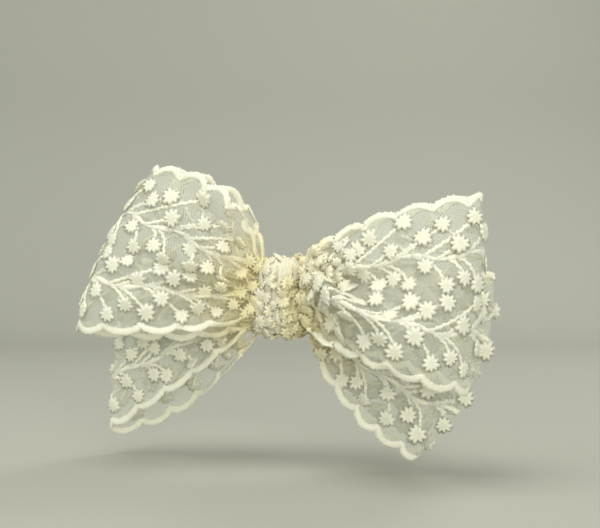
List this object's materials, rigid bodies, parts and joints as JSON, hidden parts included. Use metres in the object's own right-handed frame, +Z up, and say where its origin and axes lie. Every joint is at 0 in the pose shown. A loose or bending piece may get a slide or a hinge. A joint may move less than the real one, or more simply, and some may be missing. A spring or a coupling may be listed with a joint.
{
  "type": "lace hair bow",
  "caption": "Ivory lace hair bow with looped lace tails gathered in a lace knot, on a sprung clip that grips a lock of hair",
  "frame": {"origin": "the middle of the clip's grip, between the closed jaws behind the knot", "axes": "+X along the bow to the wearer's left, -Y out of the bow's face, +Z up"},
  "size_m": [0.1142, 0.0431, 0.0786],
  "materials": {
    "lace": "embroidered tulle",
    "knot_lace": "embroidered tulle, folded",
    "thread": "polyester thread",
    "felt": "felt",
    "glue": "hot-melt glue",
    "ribbon": "grosgrain ribbon",
    "clip_steel": "plated",
    "pin_steel": "plated",
    "spring_steel": "drawn wire"
  },
  "bodies": {
    "bow": {"upper_bow_lace": "lace", "lower_bow_lace": "lace", "knot_band": "knot_lace", "binding_thread": "thread", "knot_stitches": "thread", "felt_pad": "felt", "glue_layer": "glue", "clip_ribbon": "ribbon", "clip_upper_leaf": "clip_steel", "hinge_pin": "pin_steel", "hinge_spring": "spring_steel"},
    "lower_jaw": {"clip_lower_leaf": "clip_steel"}
  },
  "joints": [
    {"name": "jaw_hinge", "type": "hinge", "parent": "bow", "child": "lower_jaw", "pos_m": [0.01, 0.0036, 0], "axis": [0, 0, -1], "range_deg": [0, 28], "stiffness_Nm_per_rad": 0.1, "springref_deg": -28.65, "deforming": ["hinge_spring"]}
  ]
}
